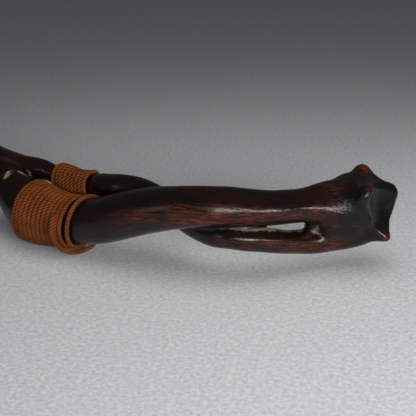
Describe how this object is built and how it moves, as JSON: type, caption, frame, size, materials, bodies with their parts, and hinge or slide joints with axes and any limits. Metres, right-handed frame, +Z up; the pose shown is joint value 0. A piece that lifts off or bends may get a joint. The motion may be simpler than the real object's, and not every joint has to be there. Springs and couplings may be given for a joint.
{
  "type": "ruyi scepter",
  "caption": "Curved scepter of polished rootwood with a lobed head, two strands that part and rejoin in a knobbed burl, and a cord binding where they part; lies on its back",
  "frame": {"origin": "on the floor under the middle of the whole scepter's box, as it lies on its back", "axes": "X runs along the scepter from the head at -X to the tail burl at +X, Y points to the far side, away from the pictured side, and Z points up"},
  "size_m": [0.4208, 0.0788, 0.0657],
  "materials": {
    "rootwood": "dark reddish-brown rootwood, hand-rubbed to a gloss, with orange-brown grain where it is worn",
    "cord": "warm brown twisted cord, matt"
  },
  "bodies": {
    "root": {"scepter_wood": "rootwood", "binding_cord": "cord"}
  },
  "joints": []
}
